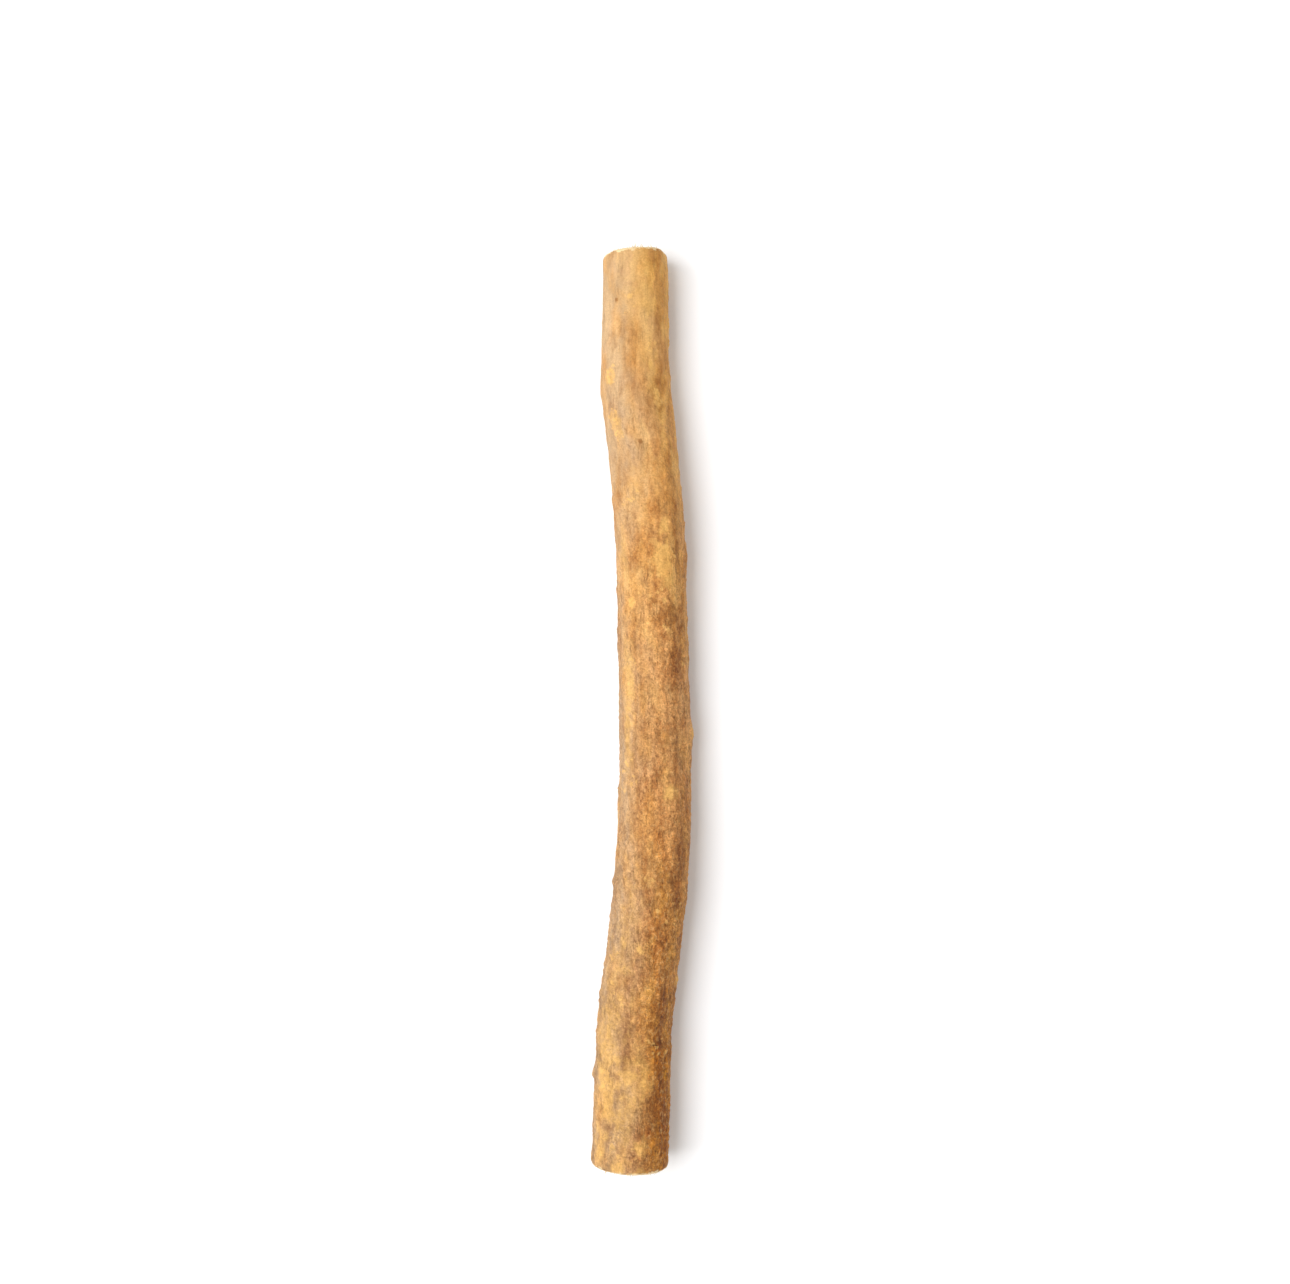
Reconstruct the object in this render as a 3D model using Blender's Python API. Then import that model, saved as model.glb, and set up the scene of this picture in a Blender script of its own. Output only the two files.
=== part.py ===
"""A miswak stick: one cut length of root, lying on its side as it would on a table.

The stick runs along Y, with its thinner end towards +Y, and rests on Z = 0. The origin
is under the middle of its box. Lengths in the tables below are in millimetres, and
angles round the stick are in degrees: 0 is +X, 90 is the top and 270 is the underside.
"""

import math
import random

import bmesh
import bpy

MM = 0.001

# The length between the two cuts, and how many rings and ring points carry the bark
LENGTH = 160.0
RINGS = 96
RING_POINTS = 40

# The middle of the stick seen from above, as (along, aside): a slow bow to +X with a
# kink near the thin end
CENTRE_LINE = (
    (-80, -2.25), (-66, -1.68), (-54, -1.18), (-45, -0.20), (-33, 1.28), (-20, 2.20),
    (-6, 2.33), (8, 2.02), (22, 1.72), (34, 1.20), (44, 0.16), (54, -0.92), (64, -1.18),
    (80, -1.12),
)

# Half of the stick's thickness, as (along, radius)
THICKNESS = (
    (-80, 6.46), (-68, 6.48), (-50, 6.32), (-30, 6.38), (-14, 6.17), (4, 5.98),
    (25, 6.00), (45, 6.06), (58, 5.96), (72, 5.78), (80, 5.68),
)

# How far the round underside stands over the table, as (along, gap). Below zero the
# bark is pressed flat, so the stick rests on three long high spots.
UNDERSIDE_GAP = (
    (-80, 0.30), (-66, -0.14), (-38, 0.42), (-2, -0.14), (32, 0.45), (63, -0.14),
    (80, 0.25),
)

# The section isn't round: (lobes round the stick, depth, turn, turn per mm, depth waves
# along the stick)
LOBES = (
    (2, 0.13, 0.6, 0.011, 1.5),
    (3, 0.09, 2.1, -0.016, 2.5),
    (5, 0.06, 0.3, 0.024, 4.0),
    (8, 0.04, 4.0, -0.013, 6.5),
)

# Knuckles, warts and rootlet scars seen from above, as (along, angle, height, length,
# width). Below zero the height is a hollow's depth.
SEEN_LUMPS = (
    (56.1, 184, 0.34, 6.0, 4.0),
    (52.6, 8, 0.26, 5.0, 3.6),
    (57.2, 136, 0.26, 2.4, 2.2),
    (49.4, 132, 0.30, 4.6, 3.0),
    (54.2, 54, 0.20, 1.8, 1.6),
    (49.2, 4, 0.16, 2.4, 2.2),
    (43.4, 3, 0.18, 3.2, 2.4),
    (36.0, 178, 0.16, 2.4, 2.0),
    (26.6, 2, 0.24, 3.4, 2.6),
    (24.1, 56, 0.16, 7.0, 3.6),
    (8.6, 1, 0.15, 2.6, 2.2),
    (-3.9, 2, 0.34, 3.2, 3.2),
    (-6.9, 357, 0.30, 6.5, 4.0),
    (-5.0, 180, 0.14, 1.8, 1.8),
    (-17.2, 181, 0.26, 6.0, 4.2),
    (-29.4, 95, 0.22, 5.0, 3.6),
    (-47.2, 3, 0.46, 2.0, 2.0),
    (-55.4, 2, 0.14, 1.8, 1.8),
    (-63.7, 178, 0.60, 2.2, 2.0),
    (-63.4, 136, 0.28, 3.4, 3.0),
    (-75.0, 130, 0.20, 4.4, 3.0),
    (-75.4, 72, 0.16, 5.4, 3.6),
    (-68.5, 56, -0.20, 5.6, 3.4),
    (69.6, 60, -0.12, 8.0, 4.0),
    (79.4, 8, -0.36, 4.6, 5.0),
)

# The side that faces the table is finished with more of the same, on both flanks of the
# strip that the stick rests on
HIDDEN_LUMPS = 22
HIDDEN_SEED = 11
UNDERSIDE = 270
FLANKS = (26, 74)
HIDDEN_HEIGHTS = (0.12, 0.36)
HIDDEN_LENGTHS = (2.0, 6.0)
HIDDEN_PROPORTIONS = (0.55, 0.95)

# Each end: its cut leans a little from square, and its rim is worn round
RIM_WEAR = 1.1
RIM_STEPS = 4
THIN_END_LEAN = 0.080
THICK_END_LEAN = -0.045
LEAN_REACH = 9.0

BARK_COLOUR = (0.62, 0.36, 0.15, 1.0)
BARK_ROUGHNESS = 0.8


def read_curve(points, along):
    """The value at one place of a smooth curve that runs through (place, value) points."""
    last = len(points) - 1
    left = 0
    while left < last - 1 and along > points[left + 1][0]:
        left += 1
    (x0, y0), (x1, y1) = points[left], points[left + 1]
    before, after = points[max(left - 1, 0)], points[min(left + 2, last)]
    slope0 = (y1 - before[1]) / (x1 - before[0])
    slope1 = (after[1] - y0) / (after[0] - x0)
    span = x1 - x0
    t = (along - x0) / span
    return (
        y0 * (1 + 2 * t) * (1 - t) ** 2
        + span * slope0 * t * (1 - t) ** 2
        + y1 * t * t * (3 - 2 * t)
        + span * slope1 * t * t * (t - 1)
    )


def hidden_lumps():
    """Lumps for the underside, spread along the stick by a fixed draw."""
    draw = random.Random(HIDDEN_SEED)
    step = LENGTH / HIDDEN_LUMPS
    lumps = []
    for place in range(HIDDEN_LUMPS):
        along = -LENGTH / 2 + (place + draw.uniform(0.1, 0.9)) * step
        angle = UNDERSIDE + draw.choice((-1, 1)) * draw.uniform(*FLANKS)
        height = draw.uniform(*HIDDEN_HEIGHTS)
        length = draw.uniform(*HIDDEN_LENGTHS)
        width = length * draw.uniform(*HIDDEN_PROPORTIONS)
        lumps.append((along, angle, height, length, width))
    return tuple(lumps)


def lump_height(lumps, along, angle, radius):
    """How far the lumps near one point of the bark push it out."""
    total = 0.0
    for at, bearing, height, length, width in lumps:
        turn = (math.degrees(angle) - bearing + 180) % 360 - 180
        aside = math.radians(turn) * radius
        total += height * math.exp(-((along - at) / length * 2) ** 2 - (aside / width * 2) ** 2)
    return total


def lobe_height(along, angle):
    """The slow departure of the section from a circle."""
    total = 0.0
    for count, depth, turn, twist, waves in LOBES:
        swell = 0.75 + 0.25 * math.sin(turn + waves * math.tau * along / LENGTH)
        total += depth * swell * math.cos(count * angle + turn + twist * along)
    return total


def bark_radius(lumps, along, angle):
    """The distance from the centre line to the bark."""
    radius = read_curve(THICKNESS, along)
    return radius + lobe_height(along, angle) + lump_height(lumps, along, angle, radius)


def ring(lumps, along, taken_off):
    """One closed ring of points, with the worn rim's amount taken off its radius."""
    aside = read_curve(CENTRE_LINE, along)
    underside = read_curve(THICKNESS, along) + lobe_height(along, math.radians(UNDERSIDE))
    up = underside + read_curve(UNDERSIDE_GAP, along)
    half = LENGTH / 2
    near_thin = max(0.0, 1 - (half - along) / LEAN_REACH) ** 2
    near_thick = max(0.0, 1 - (half + along) / LEAN_REACH) ** 2
    lean = THIN_END_LEAN * near_thin + THICK_END_LEAN * near_thick
    points = []
    for step in range(RING_POINTS):
        angle = math.tau * step / RING_POINTS
        radius = bark_radius(lumps, along, angle) - taken_off
        across = radius * math.cos(angle)
        height = max(0.0, up + radius * math.sin(angle))
        points.append(((aside + across) * MM, (along + lean * across) * MM, height * MM))
    return points


def worn_rim(end, towards):
    """The rings of one rim, as (place, amount off the radius), in a quarter circle."""
    start = end - towards * RIM_WEAR
    quarter = [math.pi / 2 * step / RIM_STEPS for step in range(1, RIM_STEPS + 1)]
    return [
        (start + towards * RIM_WEAR * math.sin(turn), RIM_WEAR * (1 - math.cos(turn)))
        for turn in quarter
    ]


def stations():
    """Every ring's (place along the stick, amount off its radius), from end to end."""
    half = LENGTH / 2
    thick_cut = -half + abs(THICK_END_LEAN) * (THICKNESS[0][1] - RIM_WEAR)
    thin_cut = half - abs(THIN_END_LEAN) * (THICKNESS[-1][1] - RIM_WEAR)
    first, last = thick_cut + RIM_WEAR, thin_cut - RIM_WEAR
    bark = [(first + (last - first) * step / (RINGS - 1), 0.0) for step in range(RINGS)]
    return worn_rim(thick_cut, -1)[::-1] + bark + worn_rim(thin_cut, 1)


def stick_mesh():
    """The bark as rings joined by quads, closed by the two flat cuts."""
    lumps = SEEN_LUMPS + hidden_lumps()
    bm = bmesh.new()
    rings = [[bm.verts.new(p) for p in ring(lumps, *place)] for place in stations()]
    for near, far in zip(rings, rings[1:]):
        for step in range(RING_POINTS):
            after = (step + 1) % RING_POINTS
            bm.faces.new((near[step], near[after], far[after], far[step]))
    bm.faces.new(rings[0])
    bm.faces.new(rings[-1])
    bmesh.ops.recalc_face_normals(bm, faces=bm.faces)
    mesh = bpy.data.meshes.new("stick")
    bm.to_mesh(mesh)
    bm.free()
    mesh.shade_smooth()
    mesh.set_sharp_from_angle(angle=math.radians(50))
    return mesh


def bark_material():
    """Dry tan bark, matt all over."""
    material = bpy.data.materials.new("bark")
    material.use_nodes = True
    shader = material.node_tree.nodes["Principled BSDF"]
    shader.inputs["Base Color"].default_value = BARK_COLOUR
    shader.inputs["Roughness"].default_value = BARK_ROUGHNESS
    shader.inputs["Metallic"].default_value = 0.0
    return material


def main():
    for old in list(bpy.data.objects):
        bpy.data.objects.remove(old)
    stick = bpy.data.objects.new("stick", stick_mesh())
    stick.data.materials.append(bark_material())
    bpy.context.scene.collection.objects.link(stick)


main()
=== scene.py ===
# A miswak stick lying on a pale table, seen from straight above.
import math
import random

import bpy
import numpy as np
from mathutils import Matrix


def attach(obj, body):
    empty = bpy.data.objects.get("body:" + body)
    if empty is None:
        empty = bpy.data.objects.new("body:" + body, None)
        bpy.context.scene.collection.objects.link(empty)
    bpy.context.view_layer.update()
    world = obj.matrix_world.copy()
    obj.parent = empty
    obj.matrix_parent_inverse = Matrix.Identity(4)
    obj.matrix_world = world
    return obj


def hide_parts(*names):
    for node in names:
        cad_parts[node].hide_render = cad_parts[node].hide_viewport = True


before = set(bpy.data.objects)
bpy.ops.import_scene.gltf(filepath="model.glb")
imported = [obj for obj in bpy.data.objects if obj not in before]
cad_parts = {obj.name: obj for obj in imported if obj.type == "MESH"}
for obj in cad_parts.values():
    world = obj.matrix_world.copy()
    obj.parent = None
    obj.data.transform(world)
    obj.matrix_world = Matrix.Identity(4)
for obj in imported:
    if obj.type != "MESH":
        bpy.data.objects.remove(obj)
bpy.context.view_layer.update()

mm = 0.001               # lengths in the dictionaries are millimetres, angles are degrees
tau = math.tau

# The stick's own form, as its solid has it: it runs along Y with the thinner end at +Y.
# Angles go round it: 0 is +X, 90 is the top and 270 the underside.
stick = {
    "length": 160.0,
    "pointsAround": 148,
    "barkRings": 560,
    "rimRings": 7,
    "cutRings": 28,
    "centreLine": (      # (along, aside)
        (-80, -2.25), (-66, -1.68), (-54, -1.18), (-45, -0.2), (-33, 1.28), (-20, 2.2),
        (-6, 2.33), (8, 2.02), (22, 1.72), (34, 1.2), (44, 0.16), (54, -0.92),
        (64, -1.18), (80, -1.12),
    ),
    "thickness": (       # (along, radius)
        (-80, 6.46), (-68, 6.48), (-50, 6.32), (-30, 6.38), (-14, 6.17), (4, 5.98),
        (25, 6.0), (45, 6.06), (58, 5.96), (72, 5.78), (80, 5.68),
    ),
    "undersideGap": (    # (along, height over the table); below zero the bark is pressed flat
        (-80, 0.3), (-66, -0.14), (-38, 0.42), (-2, -0.14), (32, 0.45), (63, -0.14),
        (80, 0.25),
    ),
    "lobes": (           # (count round the stick, depth, turn, turn per mm, waves along)
        (2, 0.13, 0.6, 0.011, 1.5), (3, 0.09, 2.1, -0.016, 2.5),
        (5, 0.06, 0.3, 0.024, 4), (8, 0.04, 4, -0.013, 6.5),
    ),
    "lobeSwell": 0.25,   # how much of a lobe's depth comes and goes along the stick
    "knuckles": (        # (along, angle, height, length, width)
        (56.1, 184, 0.34, 6, 4), (52.6, 8, 0.26, 5, 3.6), (57.2, 136, 0.26, 2.4, 2.2),
        (49.4, 132, 0.3, 4.6, 3), (54.2, 54, 0.2, 1.8, 1.6), (49.2, 4, 0.16, 2.4, 2.2),
        (43.4, 3, 0.18, 3.2, 2.4), (36, 178, 0.16, 2.4, 2), (26.6, 2, 0.24, 3.4, 2.6),
        (24.1, 56, 0.16, 7, 3.6), (8.6, 1, 0.15, 2.6, 2.2), (-3.9, 2, 0.34, 3.2, 3.2),
        (-6.9, 357, 0.3, 6.5, 4), (-5, 180, 0.14, 1.8, 1.8), (-17.2, 181, 0.26, 6, 4.2),
        (-29.4, 95, 0.22, 5, 3.6), (-47.2, 3, 0.46, 2, 2), (-55.4, 2, 0.14, 1.8, 1.8),
        (-63.7, 178, 0.6, 2.2, 2), (-63.4, 136, 0.28, 3.4, 3), (-75, 130, 0.2, 4.4, 3),
        (-75.4, 72, 0.16, 5.4, 3.6), (-68.5, 56, -0.2, 5.6, 3.4), (69.6, 60, -0.12, 8, 4),
        (79.4, 8, -0.36, 4.6, 5),
    ),
    "hiddenKnuckles": 22,
    "hiddenSeed": 11,
    "hiddenPlaces": (0.1, 0.9),                      # shares of one knuckle's stretch
    "underside": 270,
    "flanks": (26, 74),
    "hiddenHeights": (0.12, 0.36),
    "hiddenLengths": (2.0, 6.0),
    "hiddenProportions": (0.55, 0.95),
    "rimWear": 1.1,
    "thinEndLean": 0.080,
    "thickEndLean": -0.045,
    "leanReach": 9.0,
}

# The bark's relief, finer than the solid's: how high each of its layers is, and where it lies
bark = {
    "swell": 0.13,                                   # slow unevenness from drying
    "lump": 0.14,
    "wrinkle": 0.15,                                 # lengthwise shrinkage wrinkles
    "leastWrinkled": 0.4, "wrinkledHere": (-0.3, 0.5), "calmWrinkle": 0.3,
    "grain": 0.14, "grainUneven": 0.8,               # rounded corky grains
    "fine": 0.065,
    "crack": 0.05, "crackWidth": 0.09, "crackHere": (0.15, 0.50),    # a few, across the cork
    "skin": 0.07, "skinFade": 0.15, "skinEdge": 0.25,    # the brown outer skin, partly rubbed off
    "skinSide": 0.22, "skinTurn": 40,                # more of it is left on this side
    "tintSkin": 0.6,                                 # pale places have less of it
    "bareGrain": 0.65, "brownGrain": 0.45,           # less relief off the skin and in brown places
    "tintWander": 1.1,                               # how far a patch's edge wanders
    "secondShare": 0.5, "secondSize": 2.1,           # a second, smaller size of the same noise
    "skinLeft": (        # (along, how much skin is left): the thinner end has lost most of it
        (-80, 0.1), (-60, 0.16), (-30, 0.14), (0, 0.16), (16, 0.14), (22, -0.08), (40, -0.16),
        (56, -0.2), (66, -0.4), (80, -0.45),
    ),
    "calm": (            # (along, share of the relief): the thinner end is the smoother one
        (-80, 1.3), (-45, 1.3), (-20, 1.15), (0, 1.1), (25, 0.85), (45, 0.6), (60, 0.45),
        (80, 0.45),
    ),
}
noises = {               # what makes the layers: (size round the stick, size along it, seed)
    "swell": (8.0, 12.0, 1), "wrinkled": (6.0, 20.0, 3), "wrinkle": (1.8, 7.5, 4),
    "cracked": (3.0, 4.0, 6), "crack": (1.9, 1.0, 7), "grain": (0.75, 1.10, 9),
    "grainy": (3.5, 5.0, 11), "skin": (2.6, 6.5, 12), "skinEdge": (0.8, 1.1, 14),
    "lump": (2.4, 3.2, 15), "fine": (0.55, 0.65, 16), "tint": (1.6, 2.2, 21),
    "scar": (1.1, 1.1, 22),
}
marks = {                # how much each form counts in the masks that colour the bark
    # valley, crack and floor count in the mask where painted shade darkens the hollows
    "valley": 0.30, "valleyDepth": 0.16, "crack": 0.6, "floor": 0.4,         # in hollow
    "wart": 0.3, "granule": 1.7, "scar": 0.7, "fullHeight": 0.14,            # in raised
    "palePlace": 0.45, "brownPlace": 0.12,                                   # in busy
    "mottleAndShadeRange": 3.2,
}

warts = {
    "count": 330, "seed": 5, "fromEnds": 3,
    "heights": (0.04, 0.22), "mostlyLow": 2.5,       # the power of a draw from 0 to 1
    "widths": (0.40, 1.1), "lengths": (0.30, 0.70),
    # the third share here is the painted shade in the lenticel's slit
    "slit": 0.10, "slitDepth": 0.45, "slitShade": 0.4,    # a lenticel's own split, across the stick
    "seen": (            # on the outline from above: (along, angle, height, half length, half width)
        (66.9, 3, 0.22, 0.6, 0.7), (63.9, 4, 0.3, 0.7, 0.8), (57.8, 5, 0.22, 0.6, 0.7),
        (46.9, 4, 0.2, 0.5, 0.6), (41.2, 3, 0.24, 0.6, 0.8), (38.4, 3, 0.2, 0.5, 0.7),
        (32.1, 4, 0.2, 0.6, 0.7), (28.6, 2, 0.22, 0.6, 0.7), (15.4, 2, 0.2, 0.6, 0.8),
        (-49, 4, 0.26, 0.6, 0.8), (-50.7, 3, 0.22, 0.5, 0.7), (51.3, 178, 0.2, 0.5, 0.7),
        (20.7, 179, 0.2, 0.6, 0.7), (13.5, 178, 0.24, 0.7, 0.8), (-14.3, 180, 0.22, 0.7, 0.8),
        (-36, 179, 0.22, 0.6, 0.7), (-71.5, 2, 0.2, 0.6, 0.7), (2.5, 181, 0.16, 0.5, 0.6),
    ),
}

granules = {             # small pale bumps in clusters: (along, angle, spread, count)
    "clusters": (
        (57.6, 138, 0.8, 12), (50.3, 131, 0.9, 9), (47.2, 134, 0.7, 5), (54.4, 54, 0.45, 5),
        (52.9, 50, 0.45, 4), (26.6, 62, 1.4, 9), (21, 66, 1.5, 9), (13.6, 62, 0.8, 5),
        (-14.2, 62, 0.8, 6), (-12.5, 150, 1.2, 7), (-9.4, 141, 1.1, 7), (8.3, 138, 0.8, 6),
        (18.4, 128, 0.6, 5), (-63.4, 138, 1.0, 18), (-57.8, 56, 1.3, 9), (-29.5, 95, 0.6, 5),
        (-41, 97, 0.3, 2), (-47.2, 8, 0.6, 6), (-3.9, 5, 0.6, 6), (70, 100, 1.6, 5),
        (62.5, 62, 1.0, 6), (-76, 110, 1.3, 9), (-35, 60, 1.6, 7), (-44, 140, 1.6, 8),
        (36, 120, 1.6, 6), (-50.6, 118, 1.2, 6), (7.8, 12, 1, 5), (40.5, 20, 1, 5),
    ),
    "seed": 23, "heights": (0.06, 0.15), "sizes": (0.45, 0.90), "proportions": (0.50, 1.0),
    "barkRadius": 6,     # it turns a way round the bark into an angle
}

scars = {                # where rootlets broke off: (along, angle, height, length, width)
    "seen": (
        (-63.4, 137, 0.12, 2.6, 2.2), (-75, 131, 0.09, 4, 2.8), (-29.5, 95, 0.1, 2.4, 2),
        (8.6, 30, 0.06, 1.6, 1.4),
    ),
    "hidden": 9, "seed": 17, "reach": 70, "angles": (185, 355),      # more of them underneath
    "heights": (0.08, 0.18), "lengths": (1.4, 3.0), "proportions": (0.8, 1.0),
    # Where the ring stands, and how wide each form is, as shares of half the scar's size
    "ring": 0.95, "ringWidth": 0.38, "floorWidth": 0.60, "stubWidth": 0.24,
    # the third share here takes painted shade off the stub: the dust named on this line is painted
    # shade
    "floor": 0.8, "stub": 0.7, "stubUnshaded": 0.8,     # shares of the height, and of the dust
    "ringEven": 0.75, "ringUneven": 1.3, "ringMost": 1.5, "ringBend": 0.45,
}

# Places where the bark is paler and yellower (above zero) or browner (below zero):
# (along, angle, length, width, slant, strength)
patches = (
    (-68.5, 57, 4.4, 2.9, 0, -0.95), (-74.6, 72, 3.6, 3, 0, 0.65), (-63.4, 140, 3.4, 3, 0, 0.3),
    (-78.8, 108, 2.2, 2.8, 0, 0.95), (-79.3, 72, 1.4, 3.2, 0, 0.7), (-47.2, 6, 2.2, 2.2, 0, 0.8),
    (-41, 97, 1, 0.9, 0, 0.8), (-48, 48, 4, 1.4, 0, -0.55), (-14.5, 61, 2.6, 2.6, 0, 0.85),
    (-3.9, 5, 2.4, 2.2, 0, 0.6), (24.6, 68, 9.8, 4, 14, 1.0), (16.2, 60, 7.6, 5, 12, -0.38),
    (18.7, 69, 1.3, 1, 0, 1.5), (13.4, 63, 1.8, 1.5, 0, 0.9), (14.6, 44, 1, 2.6, 25, 0.5),
    (18.5, 128, 2.2, 1.6, 0, 0.9), (31.7, 66, 2.6, 1.8, 0, 0.9), (54.4, 54, 1.5, 1.3, 0, 1.6),
    (49.4, 132, 4.6, 2.4, 15, 0.6), (57.4, 140, 2.6, 2.6, 0, 0.9), (59.3, 64, 1.8, 0.9, 0, 0.95),
    (70.5, 123, 0.8, 0.7, 0, -1.3), (46, 91, 1, 0.8, 0, -1.0),
)
zones = (                # the same, but fading out softly
    # The long narrow brown zones at 42° to 56°, down the upper +X side, are partly painted shade of
    # that side and partly the bark's own browner tone
    (-72.2, 74, 5, 4, 0, -0.45), (-75.5, 50, 6, 2.4, 0, -0.6), (-70, 98, 16, 6, 0, 0.6),
    (-68, 130, 10, 2.6, 0, 0.5), (-75.5, 142, 4.6, 4, 0, 0.5), (-59, 82, 10, 3.4, 0, 0.4),
    (-58, 48, 20, 2.6, 2, -0.68), (-60.5, 143, 9, 3, 0, 0.4), (-52.5, 66, 8, 3, 0, -0.4),
    (-64.2, 62, 4.6, 5.6, 0, 0.5), (-30, 46, 20, 3, 0, -0.6), (-36, 120, 9, 3.4, 0, 0.4),
    (-7, 56, 22, 2, 0, -0.62), (-9, 69, 16, 2.2, 0, 0.45), (-6, 141, 12, 2.2, 0, 0.6),
    (1.5, 139, 8, 2.4, -6, 0.5), (6.5, 50, 14, 2, -3, -0.58), (16, 62, 10, 6, 12, -0.42),
    (7.5, 138, 10, 2.2, 0, 0.6), (26.5, 141, 9, 2.6, 0, 0.55), (34.6, 75, 6, 2.6, 0, -0.5),
    (26.5, 98, 12, 3.6, 8, -0.5), (49.5, 74, 9, 1.6, -5, -0.3), (39, 42, 24, 2, -4, -0.62),
    (54, 58, 6, 4.2, 0, -0.45), (65.2, 90, 4, 5, -10, -0.5), (66.5, 46, 30, 1.9, 0, -0.68),
    (70, 72, 9, 4, 0, 0.5), (78, 62, 5, 4, 0, -0.5), (38, 108, 7, 3, 0, 0.4),
    (-70, 210, 14, 5, 0, -0.5), (-46, 250, 20, 5, 0, 0.5),
    (-20, 300, 18, 6, 10, -0.5), (12, 230, 18, 5, -8, 0.5),
    (38, 280, 20, 5, 0, -0.5), (60, 215, 16, 5, 0, 0.5),
    (70, 320, 14, 5, 0, -0.5), (-66, 320, 14, 5, 0, 0.5),
    (-56, 138, 30, 7, 0, 0.65), (25, 43, 12, 2.2, 0, -0.75),
)

cut = {                  # the sawn faces, with depths measured in from the bark's outside
    "barkDepth": 1.05, "barkEdge": 0.1,              # cork and inner bark together
    "groove": 0.10, "grooveWidth": 0.13,             # the dark line where bark meets wood
    "barkSink": 0.05,
    "rimWobble": 0.28,                               # how unevenly the rim is worn
    "rimDents": 2.2 * tau, "rimDentLength": 40,      # dents round the rim, and their length
    "sawnFrom": 0.3,                                 # saw marks begin at this share of the wear
    "sawPitch": 0.75, "saw": 0.028, "sawTurn": 28, "sawWobble": 0.5, "sawSize": 2.2,
    "fibreSize": 0.42, "fibre": 0.055,
    "rayCount": 46, "ray": 0.022, "rayLength": 2.5, "raysFrom": (0.8, 2.0),
    "check": 0.12, "checkWobble": 0.16,              # radial cracks from drying
    "checkBend": 1.3, "checkOpens": 0.5, "checkCloses": 0.9,
    "checks": (          # (which cut, angle, from, to, half width)
        (-1, 31, 0.3, 4.2, 0.07), (-1, 74, 1.9, 4.5, 0.05), (-1, 163, 0.6, 3.1, 0.06),
        (-1, 228, 2.5, 4.7, 0.05), (1, 66, 0.3, 3.9, 0.07), (1, 112, 1.8, 4.3, 0.05),
        (1, 214, 0.4, 2.3, 0.06), (1, 342, 2.4, 4.4, 0.05), (1, 187, 2.8, 4.4, 0.04),
    ),
    "pithSize": 0.45, "pith": 0.08,
    "sawSeed": 41, "fibreSeed": 42, "raySeed": 43, "checkSeed": 45, "rimSeed": 46,
}


def smoothCurve(points, along):
    # A cubic through each pair of (place, value) points, whose slope at a point is that of
    # the straight line between the point's two neighbours.
    place, value = np.array(points, float).T
    index = np.arange(len(place))
    right, left = np.minimum(index + 1, len(place) - 1), np.maximum(index - 1, 0)
    slope = (value[right] - value[left]) / (place[right] - place[left])
    end = np.clip(np.searchsorted(place, along), 1, len(place) - 1)
    start = end - 1
    span = place[end] - place[start]
    t = (along - place[start]) / span
    return (
        value[start] * (1 + 2 * t) * (1 - t) ** 2
        + span * slope[start] * t * (1 - t) ** 2
        + value[end] * t * t * (3 - 2 * t)
        + span * slope[end] * t * t * (t - 1)
    )


def gradientNoise(x, y, z, seed):
    # Random slopes stand at the corners of unit cells. A point takes each corner's slope times
    # its way from that corner, blended across the cell by 6t^5 - 15t^4 + 10t^3.
    cells, steepness = 256, 1.7      # so steep that most values lie between -1 and 1
    draw = np.random.default_rng(seed)
    shuffle = draw.permutation(cells)
    slopes = draw.normal(size=(cells, 3))
    slopes *= steepness / np.linalg.norm(slopes, axis=1, keepdims=True)
    corner = [np.floor(v).astype(int) for v in (x, y, z)]
    inside = [v - c for v, c in zip((x, y, z), corner)]
    fade = [t * t * t * (t * (6 * t - 15) + 10) for t in inside]
    total = 0.0
    for step in np.ndindex(2, 2, 2):
        key, weight = 0, 1.0
        for c, f, s in zip(corner, fade, step):
            key = shuffle[(key + c + s) % cells]
            weight = weight * (f if s else 1 - f)
        total = total + weight * sum(slopes[key][..., i] * (inside[i] - step[i]) for i in range(3))
    return total


def ringNoise(turn, count, place, seed):
    # A noise that closes on itself, with about count cells round the stick.
    spread = count / tau
    return gradientNoise(np.cos(turn) * spread, np.sin(turn) * spread, place, seed)


def ease(low, high, value):
    # 0 below low, 1 above high, and 3t^2 - 2t^3 between them.
    t = np.clip((value - low) / (high - low), 0, 1)
    return t * t * (3 - 2 * t)


def atLeast(least, share):
    # From least where the share is 0 to 1 where it is 1: least + (1 - least) * share.
    return least + (1 - least) * share


def lineOf(noise, width):
    # 1 where the noise crosses zero, fading by exp(-(noise/width)^2): a net of thin lines.
    return np.exp(-(noise / width) ** 2)


def offCentre(along, angle, radius, spot, slant=0.0):
    # How far each point is from a spot on the bark, as shares of its half length and half width,
    # with the spot turned by its slant.
    at, bearing, length, width = spot
    turn = (angle - bearing + 180) % 360 - 180
    forward, aside = along - at, np.radians(turn) * radius
    c, s = math.cos(math.radians(slant)), math.sin(math.radians(slant))
    return (forward * c + aside * s) / length * 2, (aside * c - forward * s) / width * 2


def hiddenKnuckles():
    # The side that faces the table has knuckles from a fixed draw, as the solid has.
    draw = random.Random(stick["hiddenSeed"])
    step = stick["length"] / stick["hiddenKnuckles"]
    found = []
    for place in range(stick["hiddenKnuckles"]):
        along = -stick["length"] / 2 + (place + draw.uniform(*stick["hiddenPlaces"])) * step
        angle = stick["underside"] + draw.choice((-1, 1)) * draw.uniform(*stick["flanks"])
        height = draw.uniform(*stick["hiddenHeights"])
        length = draw.uniform(*stick["hiddenLengths"])
        width = length * draw.uniform(*stick["hiddenProportions"])
        found.append((along, angle, height, length, width))
    return tuple(found)


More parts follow.
